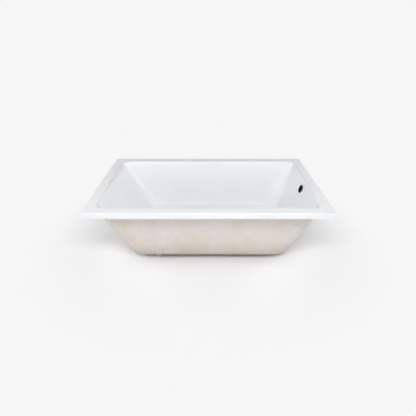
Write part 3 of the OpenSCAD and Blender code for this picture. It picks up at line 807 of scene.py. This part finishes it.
def lock_nut():
    """A hexagon nut with both faces chamfered and its bore countersunk."""
    corner = nut_half / cos(pi / 6)
    chamfer = (corner - nut_half) / 2
    hexagon = [(corner * cos(a), corner * sin(a)) for a in [pi / 3 * k for k in range(6)]]
    nut = outlined("nut", hexagon, at(0, 0, nut_low), nut_top - nut_low)
    combine(nut, [revolved("turned", [
        (0, nut_low), (nut_half, nut_low), (corner, nut_low + chamfer),
        (corner, nut_top - chamfer), (nut_half, nut_top), (0, nut_top),
    ])], "INTERSECT")
    mouth_r = screw_hole_r + nut_sink + past
    combine(nut, [revolved("bore", [
        (0, nut_low - past), (mouth_r, nut_low - past), (screw_hole_r, nut_low + nut_sink),
        (screw_hole_r, nut_top - nut_sink), (mouth_r, nut_top + past), (0, nut_top + past),
    ])])
    return smooth(nut, radians(20))


def feet():
    """A pad and a screw on bodies of their own at each place, and the four nuts together."""
    pad, screw, nut = foot_pad(), foot_screw(), lock_nut()
    places = {name: at(foot.x, foot.y, 0) for name, foot in FEET.items()}
    for name, place in places.items():
        place_piece(
            repeated("moulded_pad_" + name, pad, [place]),
            PAD_PLASTIC, "pad_" + name, "foot_plastic", "foot_pad_" + name,
        )
        place_piece(
            repeated("threaded_screw_" + name, screw, [place]),
            ZINC, "screw_" + name, "zinc_steel", "foot_screw_" + name,
        )
    nuts = repeated("lock_nuts", nut, places.values())
    place_piece(nuts, ZINC, "root", "zinc_steel", "foot_lock_nuts")
    for pattern in (pad, screw, nut):
        bpy.data.objects.remove(pattern)


# Drain: a dished flange with the plug's guide, the plug, and the shoe under the floor

drain_bottom, flange_top = (corner.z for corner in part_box("drain_flange"))
plug_bottom, plug_top = (corner.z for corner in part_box("drain_plug"))
shoe_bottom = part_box("waste_shoe")[0].z
shoe_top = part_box("shoe_washer")[0].z
drain_flange_r = 35 * MM
drain_flange_t = 3 * MM
barrel_r = 24 * MM
barrel_bore = 21 * MM
dish_r = 29 * MM
hub_r = 7 * MM
hub_low = floor_z - acrylic_t - 8 * MM
hub_top = floor_z - acrylic_t
hub_cut_h = 12 * MM
dish_high = 1.3 * MM
dish_low = 0.6 * MM
plug_r = 28 * MM
plug_edge_t = 3 * MM
plug_crown = 3 * MM
stem_r = 4 * MM
stem_hole_r = stem_r + 0.08 * MM
stop_r = 5.5 * MM
stop_t = 2 * MM
arm_t = 3 * MM
shoe_flange_r = 42 * MM
shoe_rib_h = 9 * MM

# Gussets under the flanges of shoe and elbow, clear of the socket
rib_t = 2.4 * MM
RIB_ANGLES = range(45, 330, 30)


def drain_flange():
    """A dished flange over a barrel, with a hub on four arms."""
    low, edge = flange_top - drain_flange_t, drain_flange_t / 2 - glue
    profile = [(barrel_bore, drain_bottom), (barrel_r, drain_bottom), (barrel_r, low)]
    profile += [(drain_flange_r - edge, low)]
    profile += arc(drain_flange_r - edge, low + edge, edge, -90, 90, 10)
    profile += arc(dish_r + MM, flange_top - MM, MM, 90, 150, 4)
    profile += [(barrel_bore + MM, low + dish_high), (barrel_bore, low + dish_low)]
    flange = revolved("chrome_flange", profile, DRAIN)
    arm_end = barrel_bore + MM
    arm = [(stem_r, hub_low), (arm_end, hub_low), (arm_end, hub_top), (stem_r, hub_top)]
    hub = [(0, hub_low), (hub_r - MM, hub_low), (hub_r, hub_low + MM)]
    hub += arc(hub_r - MM, hub_top - MM, MM, 0, 90) + [(0, hub_top)]
    combine(flange, [
        ribs(range(0, 360, 90), arm, arm_t, DRAIN), revolved("hub", hub, DRAIN),
    ], "UNION")
    combine(flange, [cylinder("bore", stem_hole_r, hub_cut_h, DRAIN @ at(0, 0, hub_low - past))])
    place_piece(smooth(flange), CHROME, "root", "chrome", "drain_flange")


def drain_plug():
    """A crowned plug on its stem, with a stop below."""
    low = plug_top - plug_edge_t - plug_crown
    sphere = (plug_r**2 + plug_crown**2) / (2 * plug_crown)
    edge, low_edge = MM, 0.6 * MM
    profile = [(0, plug_bottom), (stop_r, plug_bottom), (stop_r, plug_bottom + stop_t)]
    profile += [(stem_r, plug_bottom + stop_t), (stem_r, low - MM), (stem_r + MM, low)]
    profile += [(plug_r - 4 * MM, low)]
    profile += [(plug_r - 3.5 * MM, low + edge), (plug_r - 1.5 * MM, low + edge)]
    profile += arc(plug_r - edge, low + edge + low_edge, low_edge, -90, 0, 4)[1:]
    profile += arc(plug_r - edge, low + plug_edge_t - edge, edge, 0, 80, 5)
    crown = [plug_r * (1 - i / 10) for i in range(1, 11)]
    profile += [(r, plug_top - sphere + sqrt(sphere**2 - r**2)) for r in crown]
    plug = smooth(revolved("chrome_plug", profile, DRAIN))
    place_piece(plug, CHROME, "plug", "chrome", "drain_plug")


def waste_shoe():
    """A low cup with a ribbed flange above and a socket towards the drain end."""
    edge = 3 * MM
    neck_top = shoe_top - fitting_wall
    profile = [(0, shoe_bottom)] + arc(shoe_r - edge, shoe_bottom + edge, edge, -90, 0)
    profile += [(shoe_r, neck_top), (shoe_flange_r - MM, neck_top)]
    profile += arc(shoe_flange_r - MM, neck_top + MM, MM, -90, 0, 4)
    profile += arc(shoe_flange_r - MM, shoe_top - MM, MM, 0, 90, 4) + [(0, shoe_top)]
    shoe = revolved("moulded_shoe", profile, DRAIN)
    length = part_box("waste_shoe")[1].x - drain_x
    rib_low, rib_end = shoe_bottom + shoe_rib_h, shoe_flange_r - 2 * MM
    rib = [(shoe_r - MM, neck_top + MM), (shoe_r - MM, rib_low), (shoe_r + MM, rib_low)]
    rib += [(rib_end, neck_top - MM), (rib_end, neck_top + MM)]
    cup_low = shoe_bottom + fitting_wall
    cup_h = neck_top - shoe_bottom - fitting_wall
    combine(shoe, [
        revolved("socket", socket_outside(0, length), along_waste(drain_x)),
        ribs(RIB_ANGLES, rib, rib_t, DRAIN),
    ], "UNION")
    combine(shoe, [
        cylinder("crown", shoe_flange_r + glue, socket_r, DRAIN @ at(0, 0, shoe_top)),
        cylinder("barrel", barrel_r + glue, socket_r, DRAIN @ at(0, 0, drain_bottom - past)),
        cylinder("cup", shoe_r - fitting_wall, cup_h, DRAIN @ at(0, 0, cup_low)),
        cylinder("bore", tube_bore, length + past, along_waste(drain_x)),
        tube_seat(along_waste(drain_x + length - socket_depth)),
    ])
    place_piece(smooth(shoe), BLACK_PLASTIC, "root", "black_plastic", "waste_shoe")


# Waste and overflow fittings: moulded bodies, threaded sockets and ribbed slip nuts

socket_edge = 0.8 * MM
socket_pitch = 3 * MM
socket_groove = 0.7 * MM
nut_ribs = 12
collar_t = 3 * MM
collar_r = 19 * MM
collar_edge = 0.8 * MM
ring_t = 2.5 * MM
ring_r = 30.5 * MM
neck_past_washer = 12 * MM
bar_half = 1.5 * MM
elbow_flange_t = 4 * MM
elbow_flange_r = 36 * MM
elbow_rib_h = 20 * MM


def socket_outside(low, high):
    """Section of a fitting's outside, with its far end chamfered."""
    steps = heights(low, high - socket_edge, 0.5 * MM)[1:]
    wall = [(0, low), (socket_r, low)] + [(socket_r, z) for z in steps]
    return wall + [(socket_r - socket_edge, high), (0, high)]


def socket_thread(end):
    """A shape for revolved: the thread on a socket that ends at a height."""
    return thread(socket_pitch, socket_groove, end - socket_depth, end)


def tube_seat(place):
    """A cutter for the seat of a tube in a socket."""
    return cylinder("seat", socket_bore, socket_depth + past, place)


def waste_tee():
    """A leaning tee with a threaded socket on each branch."""
    turns = socket_thread(tee_half)
    run = revolved(
        "moulded_tee", socket_outside(-tee_half, tee_half), along_waste(tee_x), SOCKET_SEGMENTS,
        lambda r, z, a: turns(r, abs(z), a),
    )
    up = TUBE_DOWN @ at(0, 0, tube_run) @ Matrix.Rotation(pi, 4, "X")
    combine(run, [revolved(
        "branch", socket_outside(0, tee_branch), up, SOCKET_SEGMENTS, socket_thread(tee_branch)
    )], "UNION")
    combine(run, [
        tube_seat(along_waste(tee_x - tee_half - past)),
        tube_seat(along_waste(tee_x + tee_half - socket_depth)),
        tube_seat(up @ at(0, 0, tee_branch - socket_depth)),
        cylinder("bore", tube_bore, 2 * tee_half + 2 * past, along_waste(tee_x - tee_half - past)),
        cylinder("bore", tube_bore, tee_branch + past, up),
    ])
    place_piece(smooth(run), BLACK_PLASTIC, "root", "black_plastic", "waste_tee")


def slip_nuts():
    """Four ribbed nuts, each over a socket's end, with the tube going on along local Z."""
    low, high = washer_t + nut_front_t - slip_nut_l, washer_t + nut_front_t
    edge, groove = 1.2 * MM, 1.3 * MM
    over_socket, over_tube = socket_r + glue, socket_bore + glue
    profile = [(over_socket, low), (slip_nut_r - edge, low)]
    profile += [(slip_nut_r, z) for z in heights(low + edge, high - 2 * edge, MM)]
    profile += [(slip_nut_r - 2 * edge, high), (over_tube, high)]
    profile += [(over_tube, washer_t), (over_socket, washer_t)]

    def ribbed(r, z, a):
        """Flat-bottomed grooves in the outside, fading at its ends."""
        if r < slip_nut_r - edge / 2:
            return r
        fade = max(0.0, min(1.0, (z - low - edge) / MM, (high - 3 * edge - z) / MM))
        return r - groove * fade * min(1.0, max(0.0, 0.5 - 0.9 * cos(nut_ribs * a)))

    nut = smooth(revolved("nut", profile, segments=NUT_SEGMENTS, shape=ribbed))
    flip = Matrix.Rotation(pi, 4, "X")
    nuts = repeated("ribbed_nuts", nut, [
        along_waste(tee_x - tee_half) @ flip, along_waste(tee_x + tee_half),
        TUBE_DOWN @ at(0, 0, tube_run - tee_branch) @ flip, TUBE_DOWN @ at(0, 0, elbow_socket_end),
    ])
    bpy.data.objects.remove(nut)
    place_piece(nuts, BLACK_PLASTIC, "root", "black_plastic", "slip_nuts")


def outlet_spigot():
    """A tube with a collar that stops the trap's socket."""
    start, end = (corner.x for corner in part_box("outlet_spigot"))
    length, edge = end - start, collar_edge
    collar = tee_x + tee_half + washer_t + nut_front_t + nut_gap - start
    profile = [(tube_bore, 0), (tube_r, 0), (tube_r, collar)]
    profile += arc(collar_r - edge, collar + edge, edge, -90, 0, 3)
    profile += arc(collar_r - edge, collar + collar_t - edge, edge, 0, 90, 3)
    profile += [(tube_r, collar + collar_t)]
    profile += [(tube_r, length - edge), (tube_r - edge, length), (tube_bore, length)]
    spigot = smooth(revolved("spigot", profile, along_waste(start)))
    place_piece(spigot, BLACK_PLASTIC, "root", "black_plastic", "outlet_spigot")


def overflow_ring():
    """A thin rounded flange over a neck, with crossed bars in its mouth."""
    length, bore = skin_out + washer_t + neck_past_washer, neck_r - neck_wall
    edge, mouth = 1.2 * MM, 1.8 * MM
    profile = [(bore, length)] + arc(bore + mouth, mouth - ring_t, mouth, 180, 270)
    profile += arc(ring_r - edge, edge - ring_t, edge, -90, 0)
    profile += [(ring_r, -glue), (ring_r - glue, 0), (neck_r, 0)]
    profile += [(neck_r, length - MM), (neck_r - MM, length)]
    ring = revolved("overflow_mouth", profile, OVERFLOW)
    bar = [(x, y + 3.5 * MM) for x, y in arc(0, 0, bar_half, 180, 360, 8)]
    bar += [(bar_half, 6 * MM), (-bar_half, 6 * MM)]
    half = neck_r - neck_wall / 2
    for turn in (0, pi / 2):
        along = OVERFLOW @ Matrix.Rotation(turn, 4, "Z") @ at(-half, 0, 0)
        upright = Matrix.Rotation(pi / 2, 4, "Z") @ Matrix.Rotation(pi / 2, 4, "X")
        combine(ring, [outlined("bar", bar, along @ upright, 2 * half)], "UNION")
    place_piece(smooth(ring), BLACK_GLOSS, "root", "black_plastic", "overflow_ring")


def overflow_elbow():
    """A flanged cup on the ring's neck, with gussets and a threaded socket down the wall."""
    start, flange_r, edge = skin_out + washer_t, elbow_flange_r, 4 * MM
    flange = start + elbow_flange_t
    back, dimple = overflow_run + tube_r + fitting_wall, 0.8 * MM
    profile = [(0, start), (flange_r - MM, start)]
    profile += arc(flange_r - MM, flange - MM, MM, 0, 90, 4)
    profile += [(elbow_r + MM, flange), (elbow_r, flange + MM)]
    profile += arc(elbow_r - edge, back - edge, edge, 0, 90) + [(0.45 * elbow_r, back)]
    profile += [(0.4 * elbow_r, back - dimple), (0, back - dimple)]
    elbow = revolved("moulded_elbow", profile, OVERFLOW)
    rib_top = start + elbow_rib_h
    rib = [(elbow_r - MM, flange - MM), (flange_r - 1.5 * MM, flange - MM)]
    rib += [(flange_r - 2 * MM, flange + MM), (elbow_r + MM, rib_top), (elbow_r - MM, rib_top)]
    combine(elbow, [
        ribs(RIB_ANGLES, rib, rib_t, OVERFLOW),
        revolved(
            "socket", socket_outside(0, elbow_socket_end), TUBE_DOWN, SOCKET_SEGMENTS,
            socket_thread(elbow_socket_end),
        ),
    ], "UNION")
    cup_h = back - skin_out - fitting_wall
    combine(elbow, [
        cylinder("cup", neck_r + glue, cup_h, OVERFLOW @ at(0, 0, skin_out)),
        cylinder("bore", tube_bore, elbow_socket_end + past, TUBE_DOWN),
        tube_seat(TUBE_DOWN @ at(0, 0, elbow_socket_end - socket_depth)),
    ])
    place_piece(smooth(elbow), BLACK_PLASTIC, "root", "black_plastic", "overflow_elbow")


acrylic_shell()
glass_fibre_skin()
feet()
drain_flange()
drain_plug()
waste_shoe()
waste_tee()
slip_nuts()
outlet_spigot()
overflow_ring()
overflow_elbow()


# The solids that stay as they are: layers inside the body, battens, tubes, washers and inserts

NODE_MATERIALS = {
    "insulating_foam": FOAM,
    "base_board": BOARD,
    "front_batten": TIMBER_LONG,
    "back_batten": TIMBER_LONG,
    "backrest_batten": TIMBER_CROSS,
    "drain_end_batten": TIMBER_CROSS,
    "foot_inserts": ZINC,
    "drain_seal": RUBBER,
    "shoe_washer": RUBBER,
    "slip_washers": RUBBER,
    "overflow_washer": RUBBER,
    "waste_tube": BLACK_PLASTIC,
    "overflow_tube": BLACK_PLASTIC,
}
for name, material in NODE_MATERIALS.items():
    dress(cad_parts[name], material)


# Floor, light and camera

BACKGROUND = linear(246, 246, 246)
floor_size = 30.0
FADE_MIDDLE = (0.0, -0.05, 0.0)
FADE_SIZE = (1.25, 1.0, 1.0)
FADE_RANGE = (0.55, 1.15)  # of the fade's size, where the floor turns into the background

# The floor's painted contact shade: its colour from under the body to the open, by the share of sky
# within the contact's reach
contact_reach = 0.16
FLOOR_SHADE_COLOURS = [
    (0.08, linear(172, 173, 175)),
    (0.22, linear(224, 225, 227)),
    (0.95, linear(240, 241, 243)),
]


def seen_by_eye_or_gloss(tree):
    """1 for rays from the camera, off gloss and through glass, and 0 for those that carry light."""
    path = add(tree, "ShaderNodeLightPath")
    seen = path.outputs["Is Camera Ray"]
    for other in ("Is Glossy Ray", "Is Transmission Ray"):
        seen = calculate(tree, "MAXIMUM", seen, path.outputs[other])
    return seen


def make_floor():
    """A matt floor with painted shade close under the tub, that turns into the background further
    out.
    """
    bm = bmesh.new()
    corners = [(-1, -1), (1, -1), (1, 1), (-1, 1)]
    bm.faces.new([bm.verts.new((x * floor_size, y * floor_size, 0)) for x, y in corners])
    floor = from_bmesh("floor", bm)
    material = bpy.data.materials.new("floor_white")
    material.use_nodes = True
    tree = material.node_tree
    tree.nodes.clear()
    place = add(tree, "ShaderNodeTexCoord").outputs["Object"]
    local = add(tree, "ShaderNodeMapping", {
        "Vector": place, "Location": [-m / s for m, s in zip(FADE_MIDDLE, FADE_SIZE)],
        "Scale": [1 / s for s in FADE_SIZE],
    }).outputs["Vector"]
    away = add(tree, "ShaderNodeVectorMath", {0: local}, operation="LENGTH").outputs["Value"]
    fade = add(tree, "ShaderNodeMapRange", {
        "Value": away, "From Min": FADE_RANGE[0], "From Max": FADE_RANGE[1],
        "To Min": 0.0, "To Max": 1.0,
    }, interpolation_type="SMOOTHERSTEP").outputs["Result"]
    far = calculate(tree, "MULTIPLY", fade, seen_by_eye_or_gloss(tree))
    # Painted shade: the floor's colour darkens where the tub hides its sky
    sky = add(tree, "ShaderNodeAmbientOcclusion", {"Distance": contact_reach}, samples=8)
    colour = ramp(tree, sky.outputs["AO"], FLOOR_SHADE_COLOURS)
    matt = add(tree, "ShaderNodeBsdfDiffuse", {"Color": colour})
    pale = add(tree, "ShaderNodeEmission", {"Color": BACKGROUND, "Strength": 1.0})
    both = add(tree, "ShaderNodeMixShader", {0: far, 1: matt.outputs[0], 2: pale.outputs[0]})
    output = add(tree, "ShaderNodeOutputMaterial")
    tree.links.new(both.outputs[0], output.inputs["Surface"])
    dress(floor, material)


# Softboxes and the gloss card: place, aim, width, height and power
LAMPS = {
    "key": ((0.0, -2.1, 1.75), (0.0, 0.0, 0.35), 2.6, 0.8, 7.0),
    "high": ((0.0, -1.5, 2.3), (0.0, 0.0, 0.35), 2.6, 0.6, 38.0),
    "low": ((0.0, -2.6, 1.0), (0.0, 0.0, 0.3), 2.8, 0.8, 10.5),
    "left": ((-2.3, -0.8, 1.05), (0.1, 0.0, 0.25), 1.6, 0.9, 10.5),
    "right": ((2.3, -0.8, 1.05), (-0.1, 0.0, 0.25), 1.6, 0.9, 7.5),
    "left_rear": ((-2.4, 0.6, 1.1), (0.1, 0.0, 0.25), 1.6, 0.9, 21.0),
    "right_rear": ((2.4, 0.6, 1.1), (-0.1, 0.0, 0.25), 1.6, 0.9, 24.5),
    "card": ((0.0, -1.75, 2.2), (0.0, 0.0, 0.3), 3.2, 1.6, 60.0),
}
CARD = "card"  # shows only in gloss, and the softboxes don't show there
FRONT = Vector((0.0, -1.0, 0.2)).normalized()  # where the world's soft light comes from
front_light = 0.23


def make_world():
    """Lights softly from the front, and shows the pale backdrop to the eye and in gloss."""
    world = bpy.data.worlds.new("studio")
    world.use_nodes = True
    tree = world.node_tree
    tree.nodes.clear()
    way = add(tree, "ShaderNodeTexCoord").outputs["Generated"]
    toward = add(tree, "ShaderNodeVectorMath", {0: way, 1: FRONT}, operation="DOT_PRODUCT")
    ahead = calculate(tree, "MAXIMUM", toward.outputs["Value"], 0.0)
    strength = calculate(tree, "MULTIPLY", calculate(tree, "MULTIPLY", ahead, ahead), front_light)
    light = add(tree, "ShaderNodeBackground", {"Color": (1, 1, 1, 1), "Strength": strength})
    backdrop = add(tree, "ShaderNodeBackground", {"Color": BACKGROUND, "Strength": 1.0})
    both = add(tree, "ShaderNodeMixShader", {
        0: seen_by_eye_or_gloss(tree), 1: light.outputs[0], 2: backdrop.outputs[0],
    })
    output = add(tree, "ShaderNodeOutputWorld")
    tree.links.new(both.outputs[0], output.inputs["Surface"])
    bpy.context.scene.world = world


def make_lamps():
    """Softboxes that light without showing in gloss, and the card that only shows there."""
    for name, (place, aim, width, height, power) in LAMPS.items():
        lamp = bpy.data.lights.new(name, "AREA")
        lamp.shape = "RECTANGLE"
        lamp.size, lamp.size_y = width, height
        lamp.energy = power
        holder = bpy.data.objects.new(name, lamp)
        holder.location = place
        holder.visible_glossy = name == CARD
        holder.visible_diffuse = name != CARD
        holder.rotation_euler = (Vector(aim) - Vector(place)).to_track_quat("-Z", "Y").to_euler()
        bpy.context.scene.collection.objects.link(holder)


# The photograph's camera: focal length in pixels of a 416 pixel frame, and its place before the rim
photo_px = 416
focal_px = 273.1
camera_before_rim = 1.321
camera_above_rim = 0.910
camera_down = radians(33.36)


def make_camera():
    """The camera that was fitted to the photograph."""
    data = bpy.data.cameras.new("camera")
    data.sensor_width = 36
    data.lens = focal_px / photo_px * data.sensor_width
    data.clip_start, data.clip_end = 0.05, 100
    camera = bpy.data.objects.new("camera", data)
    camera.location = (0, -half_w - camera_before_rim, rim_z + camera_above_rim)
    camera.rotation_euler = (pi / 2 - camera_down, 0, 0)
    bpy.context.scene.collection.objects.link(camera)
    bpy.context.scene.camera = camera


make_floor()
make_world()
make_lamps()
make_camera()
bpy.context.scene.view_settings.view_transform = "Standard"
